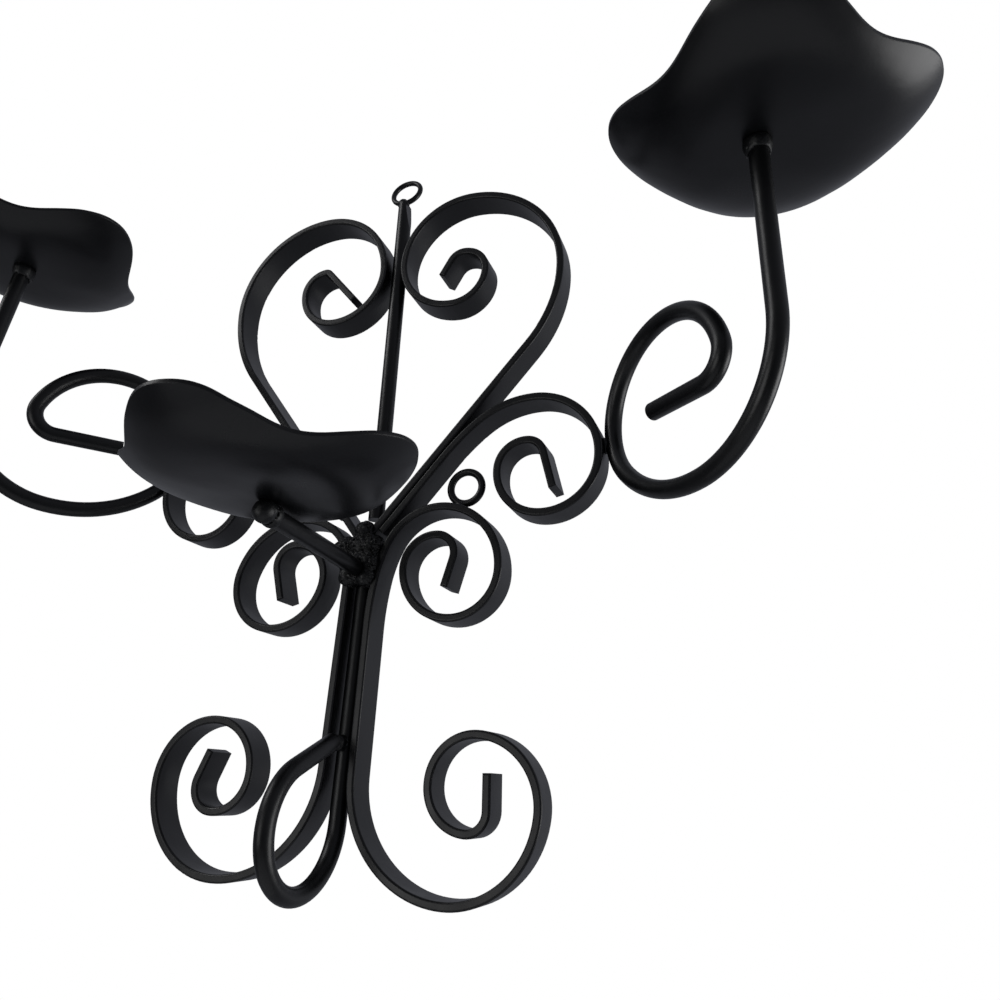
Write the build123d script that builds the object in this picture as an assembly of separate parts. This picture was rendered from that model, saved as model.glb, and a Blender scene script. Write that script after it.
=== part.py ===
from build123d import *
import math
import os

# Candle wall sconce of bent flat bar and round bar, welded, with three pans. Millimetres, +Z up.
# The wall is at +Y and the viewer looks along +Y. The origin is the centre of the hanging eye.
# Until the export, heights count from the lowest bend, widths from between the legs, and the
# flat bars' backs lie in the wall's plane, Y = 0.

# Stock
bar_width = 12.7
bar_thickness = 3.2
bar_rounding = 0.8
rod_diameter = 6.7
pan_sheet = 1.2
weld_gap = 0.3

# Legs of the C scrolls: the height where each begins to bend at its top, and its splay outwards
leg_gap_right = 1.2
leg_gap_left = 0.35
leg_run_right = 56.0
leg_run_left = 74.5
leg_height_right = 97.5
leg_height_left = 119.0
leg_splay = 0.6

# Bends of the C scrolls as (radius, degrees), from the leg to the tip, then the straight tip
middle_scroll_right = [
    (120.0, 9.5), (55.0, 15), (24.0, 66.5), (26.0, 90), (19.0, 87), (21.0, 88), (13.0, 99), (8.0, 100),
]
middle_tip_right = 11.5
middle_scroll_left = [(23.5, 77), (29.0, 88), (19.5, 88), (22.0, 95), (15.0, 101), (8.5, 109)]
middle_tip_left = 13.0
bottom_scroll_right = [(39.5, 90), (33.0, 84), (24.0, 94), (17.5, 94), (15.5, 86), (7.5, 94)]
bottom_tip_right = 12.5
bottom_scroll_left = [(42.5, 92), (33.5, 85), (24.5, 100), (19.0, 87), (15.0, 90), (9.0, 107)]
bottom_tip_left = 11.0

# Heart: the heights where the lobes meet the rod, the bends from there inwards, and those outwards
meets_rod_right = 264.5
meets_rod_left = 263.0
heart_curl_right = [(25.5, 89), (15.0, 92), (11.0, 87), (6.5, 63)]
heart_tip_right = 8.5
heart_lobe_right = [(30.0, 92), (45.0, 90), (57.5, 38)]
heart_curl_left = [(23.5, 90), (18.0, 92), (10.5, 85), (3.0, 52)]
heart_tip_left = 22.5
heart_lobe_left = [(34.5, 88), (42.5, 93), (62.0, 37)]
heart_foot = 1.6

# Outer scrolls: how far down the diagonal from the lobe they leave it, and their bends
outer_drop_right = 56.5
outer_drop_left = 69.5
outer_scroll_right = [(84.5, 13), (37.5, 39), (26.5, 96), (22.0, 87), (18.5, 90), (11.5, 91), (7.0, 69)]
outer_scroll_left = [(84.5, 13), (68.0, 36), (25.5, 92), (24.5, 87), (18.5, 90), (11.5, 91), (7.0, 69)]
outer_tip_right = 16.0
outer_tip_left = 9.0
outer_foot_right = 8.0
outer_foot_left = 17.0
carrying_bend = 2

# Centre rod and hanging eye
rod_lean = 1.2
rod_foot = 143.0
rod_top = 303.0
rod_at_foot = 1.85
filed_length = 14.0
filed_depth = 2.0
eye_outside = 16.5
eye_wire = 2.4
eye_lean = 11.0

# Side rings on the middle scrolls: the bend that each stands on, and the direction from its centre
ring_outside = 16.5
ring_wire = 3.0
ring_bend_right = 3
ring_bend_left = 1
ring_station = 77.0

# Centre post with its loop, and the riser to the centre pan
post_top = 119.0
loop_start = 25.0
loop_bends = [(22.5, 127), (21.5, 119)]
loop_end_run = 24.0
riser_height = 120.4
riser_length = 67.3
riser_rise = 1.6
riser_twist = 2.6

# Side arms: their turn forward from the wall, the direction on the outer scroll where they are
# welded, the bend that is welded there, those from it to the curled tip, and those down and out
# to the upright under the pan
arm_turn_right = 45.0
arm_turn_left = 52.0
arm_station_right = 9.7
arm_station_left = 15.7
arm_welded_bend = (30.5, 120)
arm_curl = [(34.0, 88), (9.5, 111)]
arm_tip = 28.0
arm_bends = [(55.5, 49), (40.0, 89)]
arm_upright = 64.0
arm_lean_right = 3.6
arm_lean_left = 5.3

# Drip pans: a flat middle that sweeps up to a rim with four lobes
pan_radius = 47.5
pan_lobe = 0.11
pan_rise = 11.0
pan_rise_power = 4.5
pan_wave = 3.7
pan_wave_power = 3
pan_turn = 2.5
pan_off_centre = 4.5
centre_pan_reach = 4.0
pan_samples = 21
rim_samples = 48

# Weld metal: the drops' radii
small_bead = 2.7
loop_bead = 3.0
arm_bead = 3.2
pan_bead = 4.6
centre_pan_bead = 4.0
hub_bead = 4.2

rod_radius = rod_diameter / 2
half_bar = bar_thickness / 2
bar_middle = bar_width / 2
right, left = 1, -1


def polar(length, degrees):
    angle = math.radians(degrees)
    return Vector(length * math.cos(angle), length * math.sin(angle))


def bend_centre(station, radius, hand):
    """Centre of a bend that begins at a station (point, heading); hand is 1 to the left."""
    point, heading = station
    return point + polar(hand * radius, heading + 90)


def bent_line(start, heading, moves):
    """Strokes of a bar's middle line; a move is (0, length) or (radius, degrees), left is positive."""
    strokes = []
    here = start
    for radius, amount in moves:
        if radius == 0:
            there = here + polar(amount, heading)
            strokes.append([(here, heading), ((here + there) * 0.5, heading), (there, heading)])
        else:
            arm = math.copysign(radius, amount)
            centre = here + polar(arm, heading + 90)
            halfway = centre - polar(arm, heading + 90 + amount / 2)
            there = centre - polar(arm, heading + 90 + amount)
            strokes.append([(here, heading), (halfway, heading + amount / 2), (there, heading + amount)])
            heading += amount
        here = there
    return strokes


def bends(moves, hand):
    return [(radius, hand * degrees) for radius, degrees in moves]


def both_ways(start, heading, ahead, behind):
    """Strokes of a bar that is described from a point within it: ahead, and back from there."""
    back = bent_line(start, heading + 180, behind)
    strokes = [[(point, turn - 180) for point, turn in reversed(stroke)] for stroke in reversed(back)]
    return strokes + bent_line(start, heading, ahead)


def beside(station, distance):
    point, heading = station
    return point + polar(distance, heading + 90)


def edge_beside(stroke, distance):
    first, halfway, last = [beside(station, distance) for station in stroke]
    if stroke[0][1] == stroke[2][1]:
        return Edge.make_line(first, last)
    return Edge.make_three_point_arc(first, halfway, last)


def flat_bar(strokes):
    """Flat bar bent on edge, its back in the wall's plane, with rounded long edges."""
    sides = [edge_beside(stroke, half) for stroke in strokes for half in (half_bar, -half_bar)]
    ends = [
        Edge.make_line(beside(station, half_bar), beside(station, -half_bar))
        for station in (strokes[0][0], strokes[-1][2])
    ]
    strip = extrude(Plane.XZ * Face(Wire(sides + ends)), bar_width, dir=(0, -1, 0))
    by_depth = strip.edges().group_by(Axis.Y)
    return fillet(by_depth[0] + by_depth[-1], bar_rounding)


def round_bar(strokes, plane):
    path = plane * Wire([edge_beside(stroke, 0) for stroke in strokes])
    return sweep(Plane(path @ 0, z_dir=path % 0) * Circle(rod_radius), path)


def bead(centres, radius, *neighbours):
    """Weld metal: drops of one size that run together, fitted round the pieces that they join."""
    return Part() + [Pos(*centre) * Sphere(radius) for centre in centres] - list(neighbours)


def bead_under(centres, radius, height, *neighbours):
    """Weld metal that ends flat under a sheet at a height."""
    metal = bead(centres, radius, *neighbours)
    return split(metal, Plane.XY.offset(height), keep=Keep.BOTTOM)


def at_depth(point, depth=bar_middle):
    """A point of the flat bars' drawing, placed in front of the wall's plane."""
    return Vector(point.X, -depth, point.Y)


# C scrolls: one bar each, from the middle scroll down the leg into the bottom scroll
def c_scroll(side, gap, height, run, middle, middle_tip, bottom, bottom_tip):
    start = Vector(side * (rod_radius + gap + half_bar), height)
    down = 270 + side * leg_splay
    ahead = [(0, run)] + bends(bottom, side) + [(0, bottom_tip)]
    behind = bends(middle, -side) + [(0, middle_tip)]
    return flat_bar(both_ways(start, down, ahead, behind)), bent_line(start, down + 180, behind)


c_right, middle_line_right = c_scroll(
    right, leg_gap_right, leg_height_right, leg_run_right, middle_scroll_right, middle_tip_right,
    bottom_scroll_right, bottom_tip_right,
)
c_left, middle_line_left = c_scroll(
    left, leg_gap_left, leg_height_left, leg_run_left, middle_scroll_left, middle_tip_left,
    bottom_scroll_left, bottom_tip_left,
)


# Heart scrolls: from the rod into the curl, and over the lobe down the diagonal to the junction
def rod_middle(height):
    return rod_at_foot - (height - rod_foot) * math.tan(math.radians(rod_lean))


def heart_scroll(side, height, curl, tip, lobe):
    aside = (rod_radius + weld_gap + half_bar) / math.cos(math.radians(rod_lean))
    start = Vector(rod_middle(height) + side * aside, height)
    down = 270 + rod_lean
    corner, diagonal = bent_line(start, down + 180, bends(lobe, -side))[-1][2]
    foot_run = (corner.X - side * heart_foot) / -polar(1, diagonal).X
    ahead = bends(curl, side) + [(0, tip)]
    behind = bends(lobe, -side) + [(0, foot_run)]
    return flat_bar(both_ways(start, down, ahead, behind)), corner, diagonal


heart_right, corner_right, diagonal_right = heart_scroll(
    right, meets_rod_right, heart_curl_right, heart_tip_right, heart_lobe_right
)
heart_left, corner_left, diagonal_left = heart_scroll(
    left, meets_rod_left, heart_curl_left, heart_tip_left, heart_lobe_left
)


# Outer scrolls: flush under the diagonal, then away from it and round, to carry the side arms
def outer_bar(side, corner, diagonal, drop, foot, outer_bends, tip):
    beneath = polar(bar_thickness + weld_gap, diagonal + side * 90)
    start = corner + polar(drop, diagonal) + beneath
    foot_run = (start.X - side * foot) / -polar(1, diagonal).X
    up = diagonal + 180
    ahead = bends(outer_bends, -side)
    carrying = bent_line(start, up, ahead)[carrying_bend][0]
    strokes = both_ways(start, up, ahead + [(0, tip)], [(0, foot_run)])
    return flat_bar(strokes), bend_centre(carrying, outer_bends[carrying_bend][0], -side)


outer_right, hold_right = outer_bar(
    right, corner_right, diagonal_right, outer_drop_right, outer_foot_right, outer_scroll_right,
    outer_tip_right,
)
outer_left, hold_left = outer_bar(
    left, corner_left, diagonal_left, outer_drop_left, outer_foot_left, outer_scroll_left,
    outer_tip_left,
)

# Centre rod: its top is filed away on one side, and the eye stands on it, leaning to the wall
lean_run = math.tan(math.radians(rod_lean))
rod_length = (rod_top - rod_foot) / math.cos(math.radians(rod_lean))
along_rod = Plane(
    origin=(rod_at_foot, -bar_middle, rod_foot), x_dir=(1, 0, lean_run), z_dir=(-lean_run, 0, 1)
)
filing = Polygon(
    (rod_radius - filed_depth, 0), (rod_diameter, 0), (rod_diameter, -filed_length),
    (rod_radius, -filed_length), align=None,
)
filed_off = Pos(0, 0, rod_length) * extrude(Plane.XZ * filing, rod_diameter, both=True)
rod = along_rod * (extrude(Circle(rod_radius), rod_length) - filed_off)
eye_foot = along_rod.from_local_coords(Vector(-filed_depth / 2, 0, rod_length + weld_gap))
eye_lean_angle = math.radians(eye_lean)
eye_up = Vector(0, math.sin(eye_lean_angle), math.cos(eye_lean_angle))
eye_centre = eye_foot + eye_up * (eye_outside / 2)
eye = Pos(*eye_centre) * Rot(90 - eye_lean, 0, 0) * Torus((eye_outside - eye_wire) / 2, eye_wire / 2)


# Side rings: each stands on the crown of a middle scroll, parallel to the wall
def side_ring(side, bend_start, radius):
    centre = bend_centre(bend_start, radius, -side)
    away = polar(1, ring_station if side == right else 180 - ring_station)
    seat = centre + away * (radius + half_bar)
    middle = seat + away * (weld_gap + ring_outside / 2)
    ring = Pos(*at_depth(middle)) * Rot(90, 0, 0) * Torus((ring_outside - ring_wire) / 2, ring_wire / 2)
    return ring, at_depth(seat), at_depth(middle)


ring_right, ring_seat_right, ring_middle_right = side_ring(
    right, middle_line_right[ring_bend_right][0], middle_scroll_right[ring_bend_right][0]
)
ring_left, ring_seat_left, ring_middle_left = side_ring(
    left, middle_line_left[ring_bend_left][0], middle_scroll_left[ring_bend_left][0]
)

# Centre post: down between the legs, forward into the open loop and back up to the post
forward = Plane(origin=(0, -bar_middle, 0), x_dir=(0, -1, 0), z_dir=(-1, 0, 0))
post_moves = [(0, post_top - loop_start)] + bends(loop_bends, 1) + [(0, loop_end_run)]
post_line = bent_line(Vector(0, post_top), 270, post_moves)
post = round_bar(post_line, forward)
loop_end = forward.from_local_coords(post_line[-1][2][0])

# Riser: from the front of the junction forward and a little up to the centre pan
rise = math.radians(riser_rise)
twist = math.radians(riser_twist)
riser_way = Vector(
    math.sin(twist) * math.cos(rise), -math.cos(twist) * math.cos(rise), math.sin(rise)
)
riser_start = Vector(0, -bar_width - weld_gap, riser_height)
riser_end = riser_start + riser_way * riser_length
riser = Plane(origin=riser_start, z_dir=riser_way) * extrude(Circle(rod_radius), riser_length)


# Side arms: round bar in an upright plane that is turned forward from the wall
def side_arm(side, hold, outer_bends, station, turn, lean):
    reach = outer_bends[carrying_bend][0] + half_bar + weld_gap + rod_radius
    away = polar(1, station if side == right else 180 - station)
    touch = hold + away * reach
    turn = math.radians(turn)
    plane = Plane(
        origin=(touch.X, -bar_middle, 0),
        x_dir=(side * math.cos(turn), -math.sin(turn), 0),
        z_dir=(-math.sin(turn), -side * math.cos(turn), 0),
    )
    slant = math.degrees(math.atan(math.tan(math.radians(station)) / math.cos(turn)))
    radius, whole = arm_welded_bend
    below = 180 + lean - slant - sum(degrees for _, degrees in arm_bends)
    ahead = bends([(radius, whole - below)] + arm_curl, -1) + [(0, arm_tip)]
    behind = bends([(radius, below)] + arm_bends, 1) + [(0, arm_upright)]
    line = both_ways(Vector(0, touch.Y), 90 + slant, ahead, behind)
    top = plane.from_local_coords(line[0][0][0])
    off_centre = Vector(side * math.cos(turn), math.sin(turn)) * pan_off_centre
    seat = at_depth(hold + away * (reach - rod_radius))
    return round_bar(line, plane), seat, top, top + off_centre + Vector(0, 0, weld_gap)


arm_right, arm_seat_right, arm_top_right, pan_place_right = side_arm(
    right, hold_right, outer_scroll_right, arm_station_right, arm_turn_right, arm_lean_right
)
arm_left, arm_seat_left, arm_top_left, pan_place_left = side_arm(
    left, hold_left, outer_scroll_left, arm_station_left, arm_turn_left, arm_lean_left
)


# Drip pans: pressed sheet
def rim_radius(angle):
    return pan_radius * (1 + pan_lobe * math.cos(4 * angle))


def grown(share, power):
    """A power of a share of the radius, which runs on straight past the rim."""
    return share ** power if share < 1 else 1 + power * (share - 1)


def pan_height(x, y):
    angle = math.atan2(y, x)
    share = math.hypot(x, y) / rim_radius(angle)
    wave = pan_wave * math.cos(4 * angle)
    return pan_rise * grown(share, pan_rise_power) + wave * grown(share, pan_wave_power)


def drip_pan():
    half = pan_radius * (1 + pan_lobe) * 1.1
    places = [half * (2 * index / (pan_samples - 1) - 1) for index in range(pan_samples)]
    grid = [[Vector(x, y, pan_height(x, y)) for x in places] for y in places]
    sheet = extrude(Face.make_surface_from_array_of_points(grid), pan_sheet, dir=(0, 0, 1))
    angles = [2 * math.pi * index / rim_samples for index in range(rim_samples)]
    rim = Spline(
        *[(rim_radius(angle) * math.cos(angle), rim_radius(angle) * math.sin(angle)) for angle in angles],
        periodic=True,
    )
    depth = pan_rise + pan_wave + pan_sheet
    outline = Pos(0, 0, -depth) * extrude(make_face(rim), 3 * depth)
    return sheet & outline


pan = drip_pan()
pan_right = Pos(*pan_place_right) * Rot(0, 0, pan_turn) * pan
pan_left = Pos(*pan_place_left) * Rot(0, 0, -pan_turn) * pan
pan_above_riser = Vector(0, 0, rod_radius / math.cos(rise) + weld_gap)
centre_pan_place = riser_end + Vector(riser_way.X, riser_way.Y) * centre_pan_reach + pan_above_riser
pan_centre = Pos(*centre_pan_place) * Rot(0, 0, pan_turn) * pan

# Weld beads: at the junction, at the eye, and where the bars, the rings and the pans are joined
hub_drops = [
    Vector(x, -bar_width + 1.0, riser_height + up) for x, up in (
        (-4, -3), (4, -3), (-5, 3), (0, 3), (5, 3), (-9, 8), (-6, 10), (0, 10), (5, 10), (1, 16),
    )
]
hub_weld = bead(
    hub_drops, hub_bead, c_right, c_left, heart_right, heart_left, outer_right, outer_left, riser,
    post, rod,
)
eye_weld = bead([eye_foot], small_bead, rod, eye)


def pan_weld(top, arm):
    return bead_under([top], pan_bead, top.Z + weld_gap / 2, arm)


ring_weld_right = bead([ring_seat_right], small_bead, ring_right, c_right)
ring_weld_left = bead([ring_seat_left], small_bead, ring_left, c_left)
arm_weld_right = bead([arm_seat_right], arm_bead, arm_right, outer_right)
arm_weld_left = bead([arm_seat_left], arm_bead, arm_left, outer_left)
loop_weld = bead([(loop_end + Vector(0, -bar_middle, loop_end.Z)) * 0.5], loop_bead, post)
pan_weld_right = pan_weld(arm_top_right, arm_right)
pan_weld_left = pan_weld(arm_top_left, arm_left)
pan_weld_centre = bead_under(
    [riser_end, riser_end - riser_way * centre_pan_bead], centre_pan_bead,
    centre_pan_place.Z - weld_gap / 2, riser,
)

nodes = {
    "c_scroll_right": c_right,
    "c_scroll_left": c_left,
    "heart_scroll_right": heart_right,
    "heart_scroll_left": heart_left,
    "outer_scroll_right": outer_right,
    "outer_scroll_left": outer_left,
    "centre_rod": rod,
    "hanging_eye": eye,
    "side_ring_right": ring_right,
    "side_ring_left": ring_left,
    "centre_post": post,
    "riser": riser,
    "side_arm_right": arm_right,
    "side_arm_left": arm_left,
    "drip_pan_centre": pan_centre,
    "drip_pan_right": pan_right,
    "drip_pan_left": pan_left,
    "hub_weld": hub_weld,
    "eye_weld": eye_weld,
    "ring_weld_right": ring_weld_right,
    "ring_weld_left": ring_weld_left,
    "arm_weld_right": arm_weld_right,
    "arm_weld_left": arm_weld_left,
    "loop_weld": loop_weld,
    "pan_weld_right": pan_weld_right,
    "pan_weld_left": pan_weld_left,
    "pan_weld_centre": pan_weld_centre,
}

os.makedirs("parts", exist_ok=True)
to_eye = Pos(*(eye_centre * -1))
for name, piece in nodes.items():
    export_step(to_eye * piece, f"parts/{name}.step")
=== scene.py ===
import math

import bpy
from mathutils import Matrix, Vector, noise


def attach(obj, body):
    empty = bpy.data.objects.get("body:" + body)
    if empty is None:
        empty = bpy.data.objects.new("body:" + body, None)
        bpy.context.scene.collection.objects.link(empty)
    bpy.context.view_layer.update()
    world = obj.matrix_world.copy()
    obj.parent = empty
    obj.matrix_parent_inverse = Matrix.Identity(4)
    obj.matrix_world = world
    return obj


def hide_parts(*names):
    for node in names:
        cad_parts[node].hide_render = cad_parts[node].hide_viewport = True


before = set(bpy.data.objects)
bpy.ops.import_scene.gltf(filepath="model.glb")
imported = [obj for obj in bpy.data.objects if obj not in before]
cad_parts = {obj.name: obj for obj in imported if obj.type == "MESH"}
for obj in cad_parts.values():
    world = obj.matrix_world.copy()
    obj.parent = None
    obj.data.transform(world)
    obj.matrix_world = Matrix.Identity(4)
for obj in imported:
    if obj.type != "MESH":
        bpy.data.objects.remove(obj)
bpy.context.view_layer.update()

scene = bpy.context.scene


# Flat bar of the scrolls: mild steel, 12.7 by 3.2 mm with rolled edges, bent on a jig and then
# sprayed satin black. The spray leaves fine orange peel, and hand bending leaves slow waves, so
# the highlights along the edges break up a little.
def linear(colour):
    """An sRGB hex colour as the linear colour that a node takes."""
    levels = [int(colour[start:start + 2], 16) / 255 for start in (1, 3, 5)]
    return [
        level / 12.92 if level <= 0.04045 else ((level + 0.055) / 1.055) ** 2.4 for level in levels
    ] + [1]


def add(tree, kind, settings=None, sockets=None):
    """Adds a node; a socket gets a value, or a link where it is given as (node, output)."""
    new = tree.nodes.new(kind)
    for name, value in (settings or {}).items():
        setattr(new, name, value)
    for name, value in (sockets or {}).items():
        if isinstance(value, tuple) and isinstance(value[0], bpy.types.Node):
            tree.links.new(value[0].outputs[value[1]], new.inputs[name])
        else:
            new.inputs[name].default_value = value
    return new


def sprayed_paint(name, dark, pale, roughness, peel_mm, peel_depth, wave_mm, wave_depth, edge_mm):
    """Satin black spray paint on steel: orange peel, slow waves, and paint drawn thin over edges."""
    material = bpy.data.materials.new(name)
    material.use_nodes = True
    tree = material.node_tree
    tree.nodes.clear()
    place = add(tree, "ShaderNodeTexCoord")
    mist = add(tree, "ShaderNodeTexNoise", None, {
        "Vector": (place, "Object"), "Scale": 1000 / (wave_mm * 2), "Detail": 4.0, "Roughness": 0.6,
    })
    colour = add(tree, "ShaderNodeMix", {"data_type": "RGBA"}, {
        0: (mist, "Fac"), 6: linear(dark), 7: linear(pale),
    })
    gloss = add(tree, "ShaderNodeMapRange", None, {
        "Value": (mist, "Fac"), "From Min": 0.3, "From Max": 0.7,
        "To Min": roughness - 0.05, "To Max": roughness + 0.07,
    })
    waves = add(tree, "ShaderNodeTexNoise", None, {
        "Vector": (place, "Object"), "Scale": 1000 / wave_mm, "Detail": 2.0,
    })
    peel = add(tree, "ShaderNodeTexNoise", None, {
        "Vector": (place, "Object"), "Scale": 1000 / peel_mm, "Detail": 3.0,
    })
    rounded = add(tree, "ShaderNodeBevel", {"samples": 4}, {"Radius": edge_mm / 1000})
    waved = add(tree, "ShaderNodeBump", None, {
        "Height": (waves, "Fac"), "Distance": wave_depth / 1000, "Strength": 1.0,
        "Normal": (rounded, "Normal"),
    })
    peeled = add(tree, "ShaderNodeBump", None, {
        "Height": (peel, "Fac"), "Distance": peel_depth / 1000, "Strength": 1.0,
        "Normal": (waved, "Normal"),
    })
    paint = add(tree, "ShaderNodeBsdfPrincipled", None, {
        "Base Color": (colour, 2), "Roughness": (gloss, "Result"), "IOR": 1.5,
        "Normal": (peeled, "Normal"),
    })
    add(tree, "ShaderNodeOutputMaterial", None, {"Surface": (paint, "BSDF")})
    return material


def paint_nodes(names, material):
    for name in names:
        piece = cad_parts[name]
        piece.data.materials.clear()
        piece.data.materials.append(material)


bar_paint = sprayed_paint(
    "satin_black_on_flat_bar", "#050608", "#0b0c0f", 0.36, peel_mm=0.7, peel_depth=0.012,
    wave_mm=9, wave_depth=0.10, edge_mm=0.3,
)
paint_nodes(
    ["c_scroll_right", "c_scroll_left", "heart_scroll_right", "heart_scroll_left", "outer_scroll_right",
     "outer_scroll_left"],
    bar_paint,
)

# Round bar of the centre rod, the post with its loop, the riser and the two side arms: 6.35 mm
# mild steel bent cold round pins, with a thick coat of the same satin black. It shows long, soft
# highlights with slight ripples where the bending pins pressed.
rod_paint = sprayed_paint(
    "satin_black_on_round_bar", "#050607", "#0a0b0d", 0.34, peel_mm=0.8, peel_depth=0.012,
    wave_mm=7, wave_depth=0.12, edge_mm=0.4,
)
paint_nodes(["centre_rod", "centre_post", "riser", "side_arm_right", "side_arm_left"], rod_paint)

# Hanging eye and the two side rings: steel wire bent to closed rings and sprayed with the rest.
# The paint is thinner and a little glossier on the small round wire.
ring_paint = sprayed_paint(
    "satin_black_on_wire_rings", "#060709", "#0d0e10", 0.30, peel_mm=0.6, peel_depth=0.01,
    wave_mm=4, wave_depth=0.06, edge_mm=0.2,
)
paint_nodes(["hanging_eye", "side_ring_right", "side_ring_left"], ring_paint)

# Drip pans: pressed steel sheet, 1.2 mm, the rim drawn up in four lobes and cut clean. The sheet
# takes the paint evenly, so its underside is a broad, smooth satin, glossier than the flat bar,
# with the cut rim catching a thin line of light.
pan_paint = sprayed_paint(
    "satin_black_on_pressed_sheet", "#050609", "#0a0b0e", 0.30, peel_mm=0.9, peel_depth=0.012,
    wave_mm=22, wave_depth=0.16, edge_mm=0.45,
)
paint_nodes(["drip_pan_centre", "drip_pan_right", "drip_pan_left"], pan_paint)

# Weld metal at the junction, the eye, the rings, the arms, the loop and under the pans: steel
# laid down in drops by hand, left unground and painted over. The drops have melted into one
# another, with small lumps and pits, and the paint on them is rougher.
weld_paint = sprayed_paint(
    "satin_black_on_weld_metal", "#060708", "#101113", 0.40, peel_mm=0.8, peel_depth=0.05,
    wave_mm=3, wave_depth=0.25, edge_mm=0.5,
)
coarse_voxel, fine_voxel = 0.0009, 0.00035
large_lump_mm, small_lump_mm, lump_height = 5, 1.6, 0.0004
for name in [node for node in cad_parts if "weld" in node]:
    at_junction = name == "hub_weld"
    under_side_pan = name in ("pan_weld_right", "pan_weld_left")
    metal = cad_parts[name].data.copy()
    weld = bpy.data.objects.new(name.replace("_weld", "_weld_lumps"), metal)
    scene.collection.objects.link(weld)
    weld.data.materials.clear()
    weld.data.materials.append(weld_paint)
    melting = (coarse_voxel, 14) if at_junction else (fine_voxel, 8)
    for voxel_size, passes in (melting, (fine_voxel, 2)):
        remesh = weld.modifiers.new("drops_run_together", "REMESH")
        remesh.mode = "VOXEL"
        remesh.voxel_size = voxel_size
        remesh.use_smooth_shade = True
        melted = weld.modifiers.new("drops_melted_together", "SMOOTH")
        melted.iterations = passes
    evaluated = weld.evaluated_get(bpy.context.evaluated_depsgraph_get())
    weld.data = bpy.data.meshes.new_from_object(evaluated)
    weld.modifiers.clear()
    top = max(vertex.co.z for vertex in weld.data.vertices)
    drawn_down = 1.7 if under_side_pan else 1
    swelling = 0.0008 if at_junction else 0.0002
    for vertex in weld.data.vertices:
        large_lumps = noise.noise(vertex.co * (1000 / large_lump_mm))
        small_lumps = noise.noise(vertex.co * (1000 / small_lump_mm))
        lumps = large_lumps + 0.4 * small_lumps
        vertex.co += vertex.normal * (swelling + lump_height * lumps)
        vertex.co.z = top - (top - vertex.co.z) * drawn_down
    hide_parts(name)
    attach(weld, "root")

# Floor: a plain pale studio floor, well below the hung sconce, that takes its shadow
bpy.ops.mesh.primitive_plane_add(size=2.4, location=(0, -1, -1.6))
floor = bpy.context.object
floor.name = "studio_floor"
floor_paint = bpy.data.materials.new("pale_studio_floor")
floor_paint.use_nodes = True
floor_shader = floor_paint.node_tree.nodes["Principled BSDF"]
floor_shader.inputs["Base Color"].default_value = linear("#f4f4f3")
floor_shader.inputs["Roughness"].default_value = 0.8
floor.data.materials.append(floor_paint)

# Studio light: a dim, slightly cool surround, paler towards the wall and upwards than towards the
# room, which shows plain white to the camera, and three weak soft boxes: low in front, for the
# edges of the bottom scrolls, low on the right, for the side arm's bend, and high on the left
world = bpy.data.worlds.new("studio")
scene.world = world
world.use_nodes = True
sky = world.node_tree
sky.nodes.clear()
seen = add(sky, "ShaderNodeLightPath")
way = add(sky, "ShaderNodeTexCoord")
paler_side = (0.3, 0.8, 0.5)
wallward = add(sky, "ShaderNodeVectorMath", {"operation": "DOT_PRODUCT"}, {
    0: (way, "Generated"), 1: paler_side,
})
glow = add(sky, "ShaderNodeMapRange", None, {
    "Value": (wallward, "Value"), "From Min": -1.0, "From Max": 1.0, "To Min": 0.04, "To Max": 0.32,
})
surround = add(sky, "ShaderNodeBackground", None, {
    "Color": linear("#eff2ff"), "Strength": (glow, "Result"),
})
backdrop = add(sky, "ShaderNodeBackground", None, {"Color": linear("#ffffff"), "Strength": 1.0})
white_behind = add(sky, "ShaderNodeMixShader", None, {"Fac": (seen, "Is Camera Ray")})
sky.links.new(surround.outputs[0], white_behind.inputs[1])
sky.links.new(backdrop.outputs[0], white_behind.inputs[2])
add(sky, "ShaderNodeOutputWorld", None, {"Surface": (white_behind, "Shader")})
middle = Vector((0, 0, -0.15))
for name, place, size, power in (
    ("soft_box_low", (-0.65, -1.4, -0.4), 0.8, 3),
    ("soft_box_right", (1.6, 0.4, -0.4), 1.0, 9),
    ("soft_box_left", (-1.4, -0.9, 0.9), 0.8, 6),
):
    light = bpy.data.lights.new(name, "AREA")
    light.shape = "SQUARE"
    light.size = size
    light.energy = power
    lamp = bpy.data.objects.new(name, light)
    scene.collection.objects.link(lamp)
    lamp.visible_camera = False
    lamp.location = place
    lamp.rotation_euler = (middle - Vector(place)).to_track_quat("-Z", "Y").to_euler()

# Camera: below the sconce and to its right, close by, looking up at it
camera = bpy.data.objects.new("camera", bpy.data.cameras.new("camera"))
scene.collection.objects.link(camera)
camera.location = (0.1689, -0.2839, -0.2674)
camera.rotation_euler = [math.radians(angle) for angle in (109.06, -3.34, 20.10)]
camera.data.sensor_width = 36
camera.data.lens = 29.12
camera.data.clip_start = 0.01
scene.camera = camera
scene.view_settings.view_transform = "Standard"
